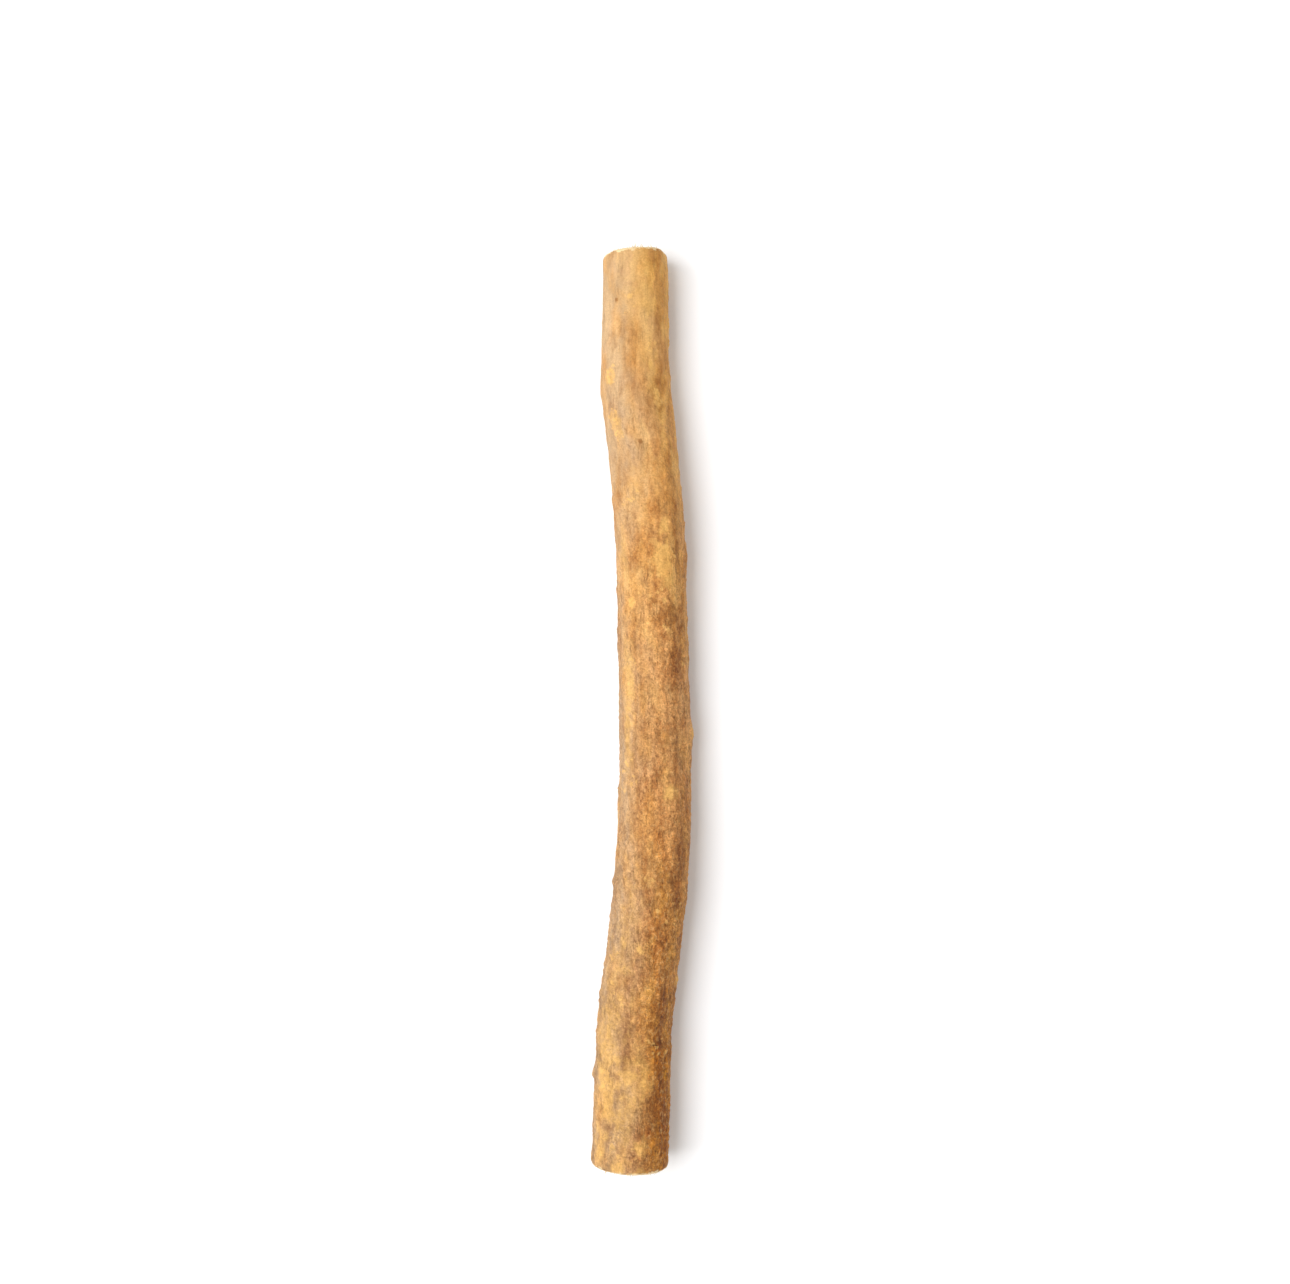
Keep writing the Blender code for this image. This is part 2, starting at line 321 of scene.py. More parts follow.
def lobeHeight(along, angle):
    # Each lobe is a cosine round the stick that turns and swells along it.
    total = 0.0
    for count, depth, turn, twist, waves in stick["lobes"]:
        wave = np.sin(turn + waves * tau * along / stick["length"])
        swell = 1 - stick["lobeSwell"] + stick["lobeSwell"] * wave
        total = total + depth * swell * np.cos(count * np.radians(angle) + turn + twist * along)
    return total


def knuckleHeight(along, angle, radius):
    # Each knuckle is a bell, height * exp(-a^2 - b^2), over its half length and half width.
    total = 0.0
    for at, bearing, height, length, width in stick["knuckles"] + hiddenKnuckles():
        a, b = offCentre(along, angle, radius, (at, bearing, length, width))
        total = total + height * np.exp(-a ** 2 - b ** 2)
    return total


def wartHeight(along, angle, radius):
    # Lenticels: low bells, wider round the stick than along it, split across by a slit.
    draw = np.random.default_rng(warts["seed"])
    half = stick["length"] / 2 - warts["fromEnds"]
    low, high = warts["heights"]
    found = list(warts["seen"])
    for _ in range(warts["count"]):
        at, bearing = draw.uniform(-half, half), draw.uniform(0, 360)
        height = low + (high - low) * draw.uniform() ** warts["mostlyLow"]
        height = height * smoothCurve(bark["calm"], at)
        width, length = draw.uniform(*warts["widths"]), draw.uniform(*warts["lengths"])
        found.append((at, bearing, height, length, width))
    total, slits = 0.0, 0.0
    for at, bearing, height, length, width in found:
        a, b = offCentre(along, angle, radius, (at, bearing, length * 2, width * 2))
        bell = np.exp(-a ** 2 - b ** 2)
        slit = bell * np.exp(-(a * length / warts["slit"]) ** 2)
        total = total + height * (bell - warts["slitDepth"] * slit)
        slits = slits + warts["slitShade"] * slit * height / high
    return total, slits


def granuleHeight(along, angle, radius):
    # Granules: slanted oval bells, scattered about each cluster's middle by a normal draw.
    draw = np.random.default_rng(granules["seed"])
    total = 0.0
    for at, bearing, spread, count in granules["clusters"]:
        for _ in range(count):
            forward, aside = draw.normal(0, spread, 2)
            length = draw.uniform(*granules["sizes"])
            width = length * draw.uniform(*granules["proportions"])
            height = draw.uniform(*granules["heights"])
            turn = math.degrees(aside / granules["barkRadius"])
            spot = (at + forward, bearing + turn, length, width)
            a, b = offCentre(along, angle, radius, spot, draw.uniform(0, 180))
            total = np.maximum(total, height * np.exp(-a ** 2 - b ** 2))
    return total


def scarHeight(along, angle, radius, unevenness):
    # A rootlet scar: a raised ring near its edge, a sunken floor and a low stub in the middle,
    # each a bell exp(-(distance / width)^2), with the ring broken up and bent by an unevenness.
    draw = np.random.default_rng(scars["seed"])
    places = list(scars["seen"])
    for _ in range(scars["hidden"]):
        length = draw.uniform(*scars["lengths"])
        width = length * draw.uniform(*scars["proportions"])
        at = draw.uniform(-scars["reach"], scars["reach"])
        bearing = draw.uniform(*scars["angles"])
        places.append((at, bearing, draw.uniform(*scars["heights"]), length, width))
    broken = np.clip(scars["ringEven"] + scars["ringUneven"] * unevenness, 0, scars["ringMost"])
    total, floors = 0.0, 0.0
    for at, bearing, height, length, width in places:
        a, b = offCentre(along, angle, radius, (at, bearing, length, width))
        out = np.sqrt(a * a + b * b) * (1 + scars["ringBend"] * unevenness)
        ring = np.exp(-((out - scars["ring"]) / scars["ringWidth"]) ** 2) * broken
        floor = np.exp(-(out / scars["floorWidth"]) ** 2)
        stub = np.exp(-(out / scars["stubWidth"]) ** 2)
        total = total + height * (ring - scars["floor"] * floor + scars["stub"] * stub)
        floors = floors + floor - scars["stubUnshaded"] * stub
    return total, np.clip(floors, 0, 1)


def tintStrength(along, angle, radius, wander):
    # A patch is exp(-d^8), which is even inside and falls off at an edge that wanders with noise,
    # and a zone is exp(-d^2).
    total = 0.0
    for places, power in ((patches, 4), (zones, 1)):
        for at, bearing, length, width, slant, strength in places:
            a, b = offCentre(along, angle, radius, (at, bearing, length, width), slant)
            total = total + strength * np.exp(-((a * a + b * b) * np.exp(wander)) ** power)
    return np.clip(total, -1, 1)


def barkRelief(along, angle, radius):
    # The sum of every layer of the bark's relief in millimetres, and the masks that colour it.
    # A wrinkle or a grain is the size of a noise, |n|, so that round tops meet in narrow valleys.
    turn = np.radians(angle)
    x, y, z = radius * np.cos(turn), along + 0 * turn, radius * np.sin(turn)

    def noise(name, shrink=1.0, later=0):
        # The noise of that name at each point, with its two sizes divided by shrink
        across, lengthwise, seed = noises[name]
        across, lengthwise = across / shrink, lengthwise / shrink
        return gradientNoise(x / across, y / lengthwise, z / across, seed + later)

    def twoSizes(name):
        # The same noise plus a share of a smaller one
        return noise(name) + bark["secondShare"] * noise(name, bark["secondSize"], 1)

    calm = smoothCurve(bark["calm"], along)
    wrinkled = atLeast(bark["leastWrinkled"], ease(*bark["wrinkledHere"], noise("wrinkled")))
    wrinkled = wrinkled * atLeast(bark["calmWrinkle"], calm)
    wrinkle = np.abs(twoSizes("wrinkle")) * wrinkled
    crack = lineOf(noise("crack"), bark["crackWidth"]) * ease(*bark["crackHere"], noise("cracked"))
    grains = np.abs(noise("grain")) * (1 + bark["grainUneven"] * noise("grainy"))
    grains = grains - grains.mean()
    fine = noise("fine")
    # The grains' relief heights, which the shader turns into painted highlight and painted shade
    mottleAndShade = (grains / grains.std() + fine / fine.std()) / marks["mottleAndShadeRange"]
    wart, slits = wartHeight(along, angle, radius)
    granule = granuleHeight(along, angle, radius)
    scar, floors = scarHeight(along, angle, radius, noise("scar"))
    tint = tintStrength(along, angle, radius, bark["tintWander"] * twoSizes("tint"))
    pale, brown = np.clip(tint, 0, 1), np.clip(-tint, 0, 1)
    skin = (
        twoSizes("skin") + bark["skinEdge"] * noise("skinEdge")
        + smoothCurve(bark["skinLeft"], along)
        + bark["skinSide"] * np.cos(turn - math.radians(bark["skinTurn"])) - bark["tintSkin"] * tint
    )
    skinHere = ease(-bark["skinFade"], bark["skinFade"], skin)
    rough = calm * (atLeast(bark["bareGrain"], skinHere) - bark["brownGrain"] * brown)
    relief = (
        bark["swell"] * twoSizes("swell")
        + bark["lump"] * noise("lump") * calm
        + bark["wrinkle"] * (wrinkle - wrinkle.mean())
        + bark["grain"] * grains * rough
        - bark["crack"] * crack * rough
        + bark["fine"] * fine * rough
        + bark["skin"] * (skinHere - 0.5)
        + wart + granule + scar
    )
    # Valleys, cracks, lenticel slits and scar floors are darkened in colour: painted shade in the
    # hollows
    valley = 1 - ease(0.0, marks["valleyDepth"], wrinkle)
    hollowShade = marks["valley"] * valley + marks["crack"] * crack * rough + slits + marks["floor"] * floors
    raised = marks["wart"] * wart + marks["granule"] * granule + marks["scar"] * np.clip(scar, 0, 1)
    return relief, {
        "hollowShade": np.clip(hollowShade, 0, 1),
        "raised": np.clip(raised / marks["fullHeight"], 0, 1),
        "skin": skin,
        "tint": tint,
        "mottleAndShade": np.clip(mottleAndShade, -1, 1) * np.sqrt(rough),
        "busy": calm * (1 - marks["palePlace"] * pale + marks["brownPlace"] * brown),
    }


def checkLines(out, turn, side):
    # Each check is exp(-(aside / half width)^2) between two places on a ray from the middle.
    bend = gradientNoise(out / cut["checkBend"], turn, 0 * out, cut["checkSeed"])
    wobble = cut["checkWobble"] * bend
    total = 0.0
    for end, bearing, start, stop, width in cut["checks"]:
        away = turn - math.radians(bearing) + wobble
        forward, aside = out * np.cos(away), out * np.sin(away)
        line = np.exp(-(aside / width) ** 2) * ease(start, start + cut["checkOpens"], forward)
        line = line * (1 - ease(stop - cut["checkCloses"], stop, forward))
        total = total + line * (side * end > 0)
    return np.clip(total, 0, 1)


def cutRelief(x, z, depth, turn, side):
    # What the saw and the drying leave on a cut face, in millimetres out of it: saw lines, torn
    # fibres, rays, a groove where bark meets wood, the bark a little lower, radial cracks and
    # a sunken pith.
    def noise(name):
        # A noise over the flat of the cut, of that name's size
        size = cut[name + "Size"]
        return gradientNoise(x / size, z / size, 0 * x, cut[name + "Seed"])

    lean = math.radians(cut["sawTurn"])
    across = x * math.cos(lean) + z * math.sin(lean)
    saw = np.sin(tau * (across / cut["sawPitch"] + cut["sawWobble"] * noise("saw")))
    torn = noise("fibre")
    inWood = ease(cut["barkDepth"] - cut["barkEdge"], cut["barkDepth"] + cut["barkEdge"], depth)
    out = np.hypot(x, z)
    rays = ringNoise(turn, cut["rayCount"], out / cut["rayLength"], cut["raySeed"])
    rays = rays * inWood * ease(*cut["raysFrom"], out)
    groove = np.exp(-((depth - cut["barkDepth"]) / cut["grooveWidth"]) ** 2)
    pith = np.exp(-(out / cut["pithSize"]) ** 2)
    check = checkLines(out, turn, side)
    relief = (
        cut["saw"] * saw + cut["fibre"] * torn + cut["ray"] * rays
        - cut["groove"] * groove - cut["barkSink"] * (1 - inWood) - cut["pith"] * pith
        - cut["check"] * check
    )
    return relief, check * inWood


def rowsOfStick():
    # The rows run from near the middle of the thick cut, out over it and its rim, along the
    # bark, and in over the thin end's rim and cut. Each row has its place along the stick,
    # what its rim's quarter circle takes off the radius, and its share of the way out.
    half, wear = stick["length"] / 2, stick["rimWear"]
    thickEdge, thinEdge = stick["thickness"][0][1] - wear, stick["thickness"][-1][1] - wear
    thickCut = -half + abs(stick["thickEndLean"]) * thickEdge
    thinCut = half - abs(stick["thinEndLean"]) * thinEdge
    barkPlace = np.linspace(thickCut + wear, thinCut - wear, stick["barkRings"])
    quarter = np.linspace(0, math.pi / 2, stick["rimRings"] + 1)[1:]
    rimPlace, rimWorn = wear * np.sin(quarter), wear * (1 - np.cos(quarter))
    share = 1 - np.arange(1, stick["cutRings"]) / stick["cutRings"]
    flat = np.ones(stick["cutRings"] - 1)
    place = np.concatenate((
        thickCut * flat, (thickCut + wear - rimPlace)[::-1], barkPlace,
        thinCut - wear + rimPlace, thinCut * flat,
    ))
    worn = np.concatenate((wear * flat, rimWorn[::-1], 0 * barkPlace, rimWorn, wear * flat))
    outward = np.concatenate((share[::-1], 1 + 0 * rimWorn, 1 + 0 * barkPlace, 1 + 0 * rimWorn, share))
    rim = ease(cut["sawnFrom"], 1.0, worn / wear)
    side = np.where(place < 0, -rim, rim)
    return place[:, None], worn[:, None], outward[:, None], side[:, None]


def stickSurface():
    # radius(along, angle) = (thickness + lobes + knuckles + relief - rim wear) * share of the
    # way out. A ring's middle stands as high as its radius at the underside plus the gap there,
    # and what would go below the table is pressed flat.
    along, worn, outward, side = rowsOfStick()
    angle = np.arange(stick["pointsAround"])[None, :] * 360 / stick["pointsAround"]
    thickness = smoothCurve(stick["thickness"], along)
    relief, masks = barkRelief(along, angle, thickness)
    full = thickness + lobeHeight(along, angle) + knuckleHeight(along, angle, thickness) + relief
    turn = np.radians(angle)
    uneven = ringNoise(turn, cut["rimDents"], along / cut["rimDentLength"], cut["rimSeed"])
    radius = (full - worn * (1 + cut["rimWobble"] * uneven)) * outward
    across, upward = radius * np.cos(turn), radius * np.sin(turn)
    depth = full - radius
    underside = thickness + lobeHeight(along, stick["underside"])
    up = underside + smoothCurve(stick["undersideGap"], along)
    half, reach = stick["length"] / 2, stick["leanReach"]
    nearThin = np.clip(1 - (half - along) / reach, 0, None) ** 2
    nearThick = np.clip(1 - (half + along) / reach, 0, None) ** 2
    lean = stick["thinEndLean"] * nearThin + stick["thickEndLean"] * nearThick
    sawn, checks = cutRelief(across, upward, depth, turn + 0 * across, side)
    x = smoothCurve(stick["centreLine"], along) + across
    y = along + lean * across + side * sawn
    z = np.maximum(0, up + upward)
    points = np.stack((x, y, z), -1)
    out = outward * thickness
    ray = np.stack([np.cos(turn) + 0 * out, out + 0 * turn, np.sin(turn) + 0 * out], -1)
    masks.update(depth=depth, ray=ray, check=checks)
    return points, masks


def gridFaces(rows, columns):
    # Quads between neighbouring rows, closed round the columns, turned to face outwards.
    row, column = np.meshgrid(np.arange(rows - 1), np.arange(columns), indexing="ij")
    after = (column + 1) % columns
    quads = np.stack((
        row * columns + column, (row + 1) * columns + column,
        (row + 1) * columns + after, row * columns + after,
    ), -1)
    return quads.reshape(-1, 4)


def putInScene(name, data):
    # A new object with this mesh, lamp or camera.
    thing = bpy.data.objects.new(name, data)
    bpy.context.scene.collection.objects.link(thing)
    return thing


def makePiece(name, points, faces, material, values=None):
    # One mesh object at the origin, its place in its mesh, with its masks as attributes.
    mesh = bpy.data.meshes.new(name)
    mesh.from_pydata((points * mm).tolist(), [], faces)
    for key, value in (values or {}).items():
        if value.ndim == 2:
            mesh.attributes.new(key, "FLOAT_VECTOR", "POINT").data.foreach_set("vector", value.ravel())
        else:
            mesh.attributes.new(key, "FLOAT", "POINT").data.foreach_set("value", value)
    mesh.materials.append(material)
    mesh.shade_smooth()
    mesh.update()
    piece = putInScene(name, mesh)
    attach(piece, "root")
    print(name, len(mesh.polygons), "faces")
    return piece


def makeStick(material):
    # The grid of stickSurface, closed at each end by a fan of triangles round one middle point.
    points, masks = stickSurface()
    rows, columns = points.shape[:2]
    poles = np.array([points[0].mean(0), points[-1].mean(0)])
    poles[:, 1] -= np.array([-1, 1]) * cut["pith"] / 2
    flat = np.concatenate((points.reshape(-1, 3), poles))
    values = {}
    for key, value in masks.items():
        ends = np.array([value[0].mean(0), value[-1].mean(0)])
        if value.ndim == 3:
            ends[:, (0, 2)] = 0
            values[key] = np.concatenate((value.reshape(-1, 3), ends))
        else:
            values[key] = np.concatenate((value.ravel(), ends))
    column = np.arange(columns)
    after = (column + 1) % columns
    first, last = rows * columns, rows * columns + 1
    start = np.stack((np.full(columns, first), column, after), -1)
    final = (rows - 1) * columns
    close = np.stack((np.full(columns, last), final + after, final + column), -1)
    faces = gridFaces(rows, columns).tolist() + start.tolist() + close.tolist()
    piece = makePiece("miswakStick", flat, faces, material, values)
    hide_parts("stick")
    return points


fibres = {               # torn fibres left standing round the edges of the two cuts
    "perEnd": 130, "seed": 31,
    "rows": 11, "inward": 8,                         # rows they stand on, and those on the cut
    "lengths": (0.15, 0.65), "radii": (0.035, 0.075), "sunk": 0.12,
    "lean": 0.32, "bend": 0.25, "taper": 0.96,       # shares of the length, and of the radius
    "rings": 6, "sides": 5,
}


def makeFibres(points, material):
    # Each fibre is a tube round root + way * t + sag * t^2 with t from 0 to 1, whose radius is
    # radius * sqrt(1 - taper * t^2), so it thins to a tip. Its way is out of the cut, a little
    # aslant, and a point closes each of its ends.
    draw = np.random.default_rng(fibres["seed"])
    perEnd, rings, sides = fibres["perEnd"], fibres["rings"], fibres["sides"]
    count = perEnd * 2
    end = np.repeat((-1, 1), perEnd)
    step = stick["cutRings"] - 1 - fibres["inward"] + draw.integers(0, fibres["rows"], count)
    row = np.where(end < 0, step, len(points) - 1 - step)
    root = points[row, draw.integers(0, stick["pointsAround"], count)]
    outOfCut = np.stack((0 * end, end, 0 * end), -1)
    length = draw.uniform(*fibres["lengths"], (count, 1))
    way = (outOfCut + fibres["lean"] * draw.normal(size=(count, 3))) * length
    sag = fibres["bend"] * draw.normal(size=(count, 3)) * length
    root = root - outOfCut * fibres["sunk"]

    t = np.linspace(0, 1, rings)[None, :, None]
    middle = root[:, None] + way[:, None] * t + sag[:, None] * t ** 2
    radius = draw.uniform(*fibres["radii"], (count, 1, 1)) * np.sqrt(1 - fibres["taper"] * t ** 2)
    turn = np.arange(sides) * tau / sides
    across = np.cross(way, (0, 0, 1))
    across /= np.linalg.norm(across, axis=1, keepdims=True)
    upward = np.cross(way / np.linalg.norm(way, axis=1, keepdims=True), across)
    spoke = across[:, None] * np.cos(turn)[:, None] + upward[:, None] * np.sin(turn)[:, None]
    tube = middle[:, :, None] + spoke[:, None] * radius[..., None]
    tube = tube.reshape(count, rings * sides, 3)
    flat = np.concatenate((tube, middle[:, :1], middle[:, -1:]), 1)

    around = np.arange(sides)
    after = (around + 1) % sides
    last = (rings - 1) * sides
    sleeve = gridFaces(rings, sides)[:, ::-1]
    foot = np.stack((0 * around + rings * sides, after, around), -1)
    tip = np.stack((0 * around + rings * sides + 1, last + around, last + after), -1)
    faces = []
    for start in range(0, flat.shape[0] * flat.shape[1], flat.shape[1]):
        faces += (sleeve + start).tolist() + (foot + start).tolist() + (tip + start).tolist()
    return makePiece("sawnFibres", flat.reshape(-1, 3), faces, material)


def hexColour(code):
    # An sRGB colour such as "#C8935A" as the linear values that a shader takes: c / 12.92 up to
    # 0.04045, and ((c + 0.055) / 1.055)^2.4 above it.
    parts = [int(code[i:i + 2], 16) / 255 for i in (1, 3, 5)]
    return (*(c / 12.92 if c <= 0.04045 else ((c + 0.055) / 1.055) ** 2.4 for c in parts), 1.0)


def add(tree, kind, settings=None, links=None, out=0):
    # Adds one shader node, gives its sockets or itself what settings says, links its inputs,
    # and gives back one of its outputs.
    node = tree.nodes.new("ShaderNode" + kind)
    for key, value in (settings or {}).items():
        if isinstance(key, int) or key in node.inputs:
            node.inputs[key].default_value = value
        else:
            setattr(node, key, value)
    for key, source in (links or {}).items():
        tree.links.new(source, node.inputs[key])
    return node.outputs[out]


def newMaterial(name):
    # An empty material with its tree, its shader and the object's own coordinates.
    material = bpy.data.materials.new(name)
    material.use_nodes = True
    tree = material.node_tree
    shader = tree.nodes["Principled BSDF"]
    return material, tree, shader, add(tree, "TexCoord", out="Object")


# Settings that many nodes share: a mix has its amount in socket 0 and its colours in 6 and 7
colours = {"data_type": "RGBA"}
multiplied = {**colours, "blend_type": "MULTIPLY", 0: 1.0}
times = {"operation": "MULTIPLY"}
fromTo = ("From Min", "From Max", "To Min", "To Max")

rootFinish = {
    "thickEndBark": "#CE8A28", "middleBark": "#DFA461", "thinEndBark": "#E9B25E",
    "thickEndSkin": "#B7721F", "middleSkin": "#D3985B", "thinEndSkin": "#DAA056",
    # the dull tan #BE9F7A is a painted sheen laid over the -X side
    "paintedSheen": "#BE9F7A", "golden": "#E2A24C", "amber": "#DABC92",
    # the browner tint also lays the painted shade of the +X side's long brown zones
    "paleTint": "#DDA95A", "brownToneAndShade": "#C8B28E",
    "streak": "#C8AE8A", "blotch": "#C9AC86", "fleck": "#E0AC6A", "spot": "#A08258",
    # the dark brown of fissure and hollow is painted shade in them
    "fissureShade": "#55300F", "hollowShade": "#55300F", "raised": "#EDB868",
    "innerBark": "#E9CB98", "cambium": "#A37C4B",
    # check is the dark brown of painted shade in the cut's drying checks
    "wood": "#F0D5AC", "woodShade": "#D4AC7A", "phloem": "#C09467", "check": "#7A5530",
}
colourStops = {"thickEnd": 0.15, "thinEnd": 0.90, "middle": 0.50}    # shares of the length

# The patterns over the bark, in turn: (size across in mm, times as long as it is wide, detail,
# the noise between which it goes from none to the most, the most, how its colour is laid on,
# and whether it is fainter where the bark is calm)
barkPatterns = {
    "golden": (4.5, 2.2, 3, 0.46, 0.66, 0.50, "MIX", False),
    "amber": (3.6, 2.0, 4, 0.48, 0.68, 0.60, "MULTIPLY", False),
    "streak": (2.0, 9.0, 3, 0.46, 0.70, 0.70, "MULTIPLY", True),
    "blotch": (2.4, 1.9, 4, 0.48, 0.72, 0.66, "MULTIPLY", True),
    "fleck": (0.50, 1.6, 5, 0.50, 0.72, 0.54, "MIX", True),
    "spot": (0.42, 1.6, 5, 0.52, 0.72, 0.68, "MULTIPLY", True),
}
patternNoise = {"noise_dimensions": "4D", "Roughness": 0.6, "Distortion": 0.3}
patternStep = 3.0        # how far apart two patterns are in the noise, so that they don't match
fissures = {             # hairline splits along the bark, drawn about twice as wide as they are
    # most is how far the fissures' painted shade darkens them
    "apart": 1.2, "longer": 6.0, "edge": 0.035, "most": 0.34, "deep": 0.06,
    "look": {"Detail": 3, "Roughness": 0.6, "Distortion": 0.4},
}

# Noises: (size in mm, detail, roughness). The grain of 0.3 mm is about the finest that shows,
# and the pores are drawn a little too coarse
rootNoises = {
    "slow": (16.0, 3, 0.5), "torn": (3.5, 2, 0.5), "stain": (2.6, 4, 0.5),
    "broken": (1.3, 5, 0.68), "chips": (1.3, 4, 0.6), "ragged": (0.6, 4, 0.65),
    "grain": (0.30, 5, 0.70), "pores": (0.16, 2, 0.5),
}
# A place or mask that wanders: (which one, by which noise, how far in all)
wanders = {
    "along": ("placeY", "slow", 50 * mm), "aside": ("placeX", "slow", 9 * mm),
    "skinEdge": ("skin", "ragged", 0.9), "tips": ("raised", "grain", 2.0),
    "corkDepth": ("depth", "chips", 1.6), "woodDepth": ("depth", "ragged", 0.50),
}
# An amount: (what it comes from, the values there that it goes between, and its own two ends).
# The side towards -X is duller, a painted sheen laid over it, and its grain is fainter under that sheen
amounts = {
    "ofLength": ("along", -80 * mm, 80 * mm, 0, 1),
    "paintedSheen": ("aside", 3 * mm, -4 * mm, 0, 0.78),
    "fainter": ("aside", 4 * mm, -4 * mm, 1.04, 0.62),
    "skinHere": ("skinEdge", -0.22, 0.22, 0, 1),
    "tintEdge": ("broken", 0.35, 0.65, 0.50, 1.45),
    # paler grain tops and darker gaps, from the relief and the grain noise: painted highlight and shade
    "mottledAndShaded": ("mottleAndShade", -1.3, 1.3, 0, 1),
    "grainedAndShaded": ("grain", 0.32, 0.68, 0, 1),
    "raisedHere": ("tips", 0.34, 0.88, 0, 0.60),
    # painted shade in the hollows, up to half
    "hollowShadeHere": ("hollowShade", 0, 1, 0, 0.50),
    "splitHere": ("torn", 0.42, 0.66, 0, 1),
    "onBark": ("depth", 0.05, 0.01, 0, 1),
    "underCork": ("corkDepth", 0.14, 0.24, 0, 1),
    "inWood": ("woodDepth", 1.04, 1.14, 0, 1),
    "innerShade": ("ragged", 0.32, 0.68, 0.80, 1.10),
    "stainShade": ("stain", 0.35, 0.65, 1.04, 0.86),
    "grainShade": ("grain", 0.32, 0.68, 0.86, 1.10),
    "islandsHere": ("stain", 0.40, 0.62, 0.05, 0.60),
    "matt": ("ragged", 0.3, 0.7, 0.60, 0.80),
}
tints = {                # the same four for the mesh's mask of places, and how it is laid on
    "paleTint": ((0.10, 0.90, 0, 0.65), "MIX"),
    # the browner tint is partly painted shade down the +X side
    "brownToneAndShade": ((-0.10, -0.90, 0, 0.80), "MULTIPLY"),
}
# Painted highlight on the grains' tops and painted shade in their gaps, over the cork's own tone
grains = {               # (shade of the gaps, shade of the tops), and the tops' own tinge
    "shades": {"mottledAndShaded": (0.52, 1.46), "grainedAndShaded": (0.49, 1.47)},
    "tinge": (0.99, 1.02, 1.08), "busyContrast": 0.56, "leastContrast": 0.17,
}
wood = {                 # rays and islands scale a point's cosine, way out in mm and sine
    "rays": (16, 0.9, 16), "rayStripes": (0.40, 0.68, 0, 0.65),
    "rayNoise": {"Scale": 1.0, "Detail": 3.0, "Roughness": 0.7},
    "islands": (6.5, 2.6, 6.5), "islandEdge": (0.42, 0.16, 0, 1),
    "checkShade": 0.75, "cambiumLine": (0.20, 0.02, 0, 0.50),
}
rootShader = {
    "IOR": 1.40,                                     # porous, so a little less than solid wood
    "Specular IOR Level": 0.3,                       # its own pores shade most of the gloss
    "Sheen Weight": 0.02, "Sheen Roughness": 0.45,   # dusty cork lights up at the edges
}
tipShine = 0.10          # how much smoother a raised tip is
rootBumps = {            # heights in mm; below zero it goes inwards
    "strands": 0.05, "skinHere": 0.06, "split": -fissures["deep"], "grain": 0.14, "pores": 0.05,
}
strands = {"size": 0.28, "shortened": 0.12, "detail": 3}


def drawnNoise(tree, coords, scale, settings):
    # A noise of coordinates that were multiplied by scale first, which draws it out or shortens it.
    drawn = add(tree, "Mapping", {"Scale": scale}, {"Vector": coords})
    return add(tree, "TexNoise", settings, {"Vector": drawn})


def rootValues(tree, coords):
    # All that the root's colours are worked out from, by name: the mesh's masks, the noises,
    # the places and masks that wander, and the amounts.
    masks = ("hollowShade", "raised", "skin", "tint", "mottleAndShade", "busy", "depth", "check")
    value = {key: add(tree, "Attribute", {"attribute_name": key}, None, "Fac") for key in masks}
    for key, (size, detail, roughness) in rootNoises.items():
        look = {"Scale": 1 / (size * mm), "Detail": detail, "Roughness": roughness}
        value[key] = add(tree, "TexNoise", look, {"Vector": coords})
    axes = add(tree, "SeparateXYZ", None, {0: coords}).node.outputs
    value.update(placeX=axes["X"], placeY=axes["Y"])
    for key, (source, by, far) in wanders.items():
        drift = add(tree, "Math", {"operation": "MULTIPLY_ADD", 1: far, 2: -far / 2}, {0: value[by]})
        value[key] = add(tree, "Math", {"operation": "ADD"}, {0: value[source], 1: drift})
    for key, (source, *span) in amounts.items():
        value[key] = add(tree, "MapRange", dict(zip(fromTo, span)), {0: value[source]})
    value["lively"] = add(tree, "Math", times, {0: value["busy"], 1: value["fainter"]})
    return value


def layOver(tree, base, layers):
    # Lays colours of the finish one over another: (colour, amount, how it is laid on).
    for name, amount, blend in layers:
        base = add(tree, "Mix", {**colours, "blend_type": blend, 7: hexColour(rootFinish[name])},
                   {0: amount, 6: base}, 2)
    return base


def layerColours(tree, value):
    # The golden bark with the brown skin over it. Both change from the thick end to the thin
    # one, along a line that wanders, and the skin's edge is ragged.
    layer = []
    for name in ("Bark", "Skin"):
        ramp = add(tree, "ValToRGB", None, {0: value["ofLength"]})
        stops = ramp.node.color_ramp.elements
        for stop, end in zip(stops, ("thickEnd", "thinEnd")):
            stop.position, stop.color = colourStops[end], hexColour(rootFinish[end + name])
        stops.new(colourStops["middle"]).color = hexColour(rootFinish["middle" + name])
        layer.append(ramp)
    return add(tree, "Mix", colours, {0: value["skinHere"], 6: layer[0], 7: layer[1]}, 2)


def patternLayers(tree, coords, value):
    # Each pattern is a noise drawn out along the stick, laid on where the noise is high.
    layers = []
    for place, (name, pattern) in enumerate(barkPatterns.items()):
        size, longer, detail, low, high, most, blend, followsCalm = pattern
        look = {**patternNoise, "W": patternStep * place, "Scale": 1 / (size * mm), "Detail": detail}
        noise = drawnNoise(tree, coords, (1, 1 / longer, 1), look)
        amount = add(tree, "MapRange", dict(zip(fromTo, (low, high, 0, most))), {0: noise})
        if followsCalm:
            amount = add(tree, "Math", times, {0: amount, 1: value["lively"]})
        layers.append((name, amount, blend))
    return layers


def tintLayers(tree, value):
    # Paler and browner places, from the mesh's own mask, broken up by a noise of 1.3 mm.
    tint = add(tree, "Math", times, {0: value["tint"], 1: value["tintEdge"]})
    return [
        (name, add(tree, "MapRange", dict(zip(fromTo, span)), {0: tint}), blend)
        for name, (span, blend) in tints.items()
    ]


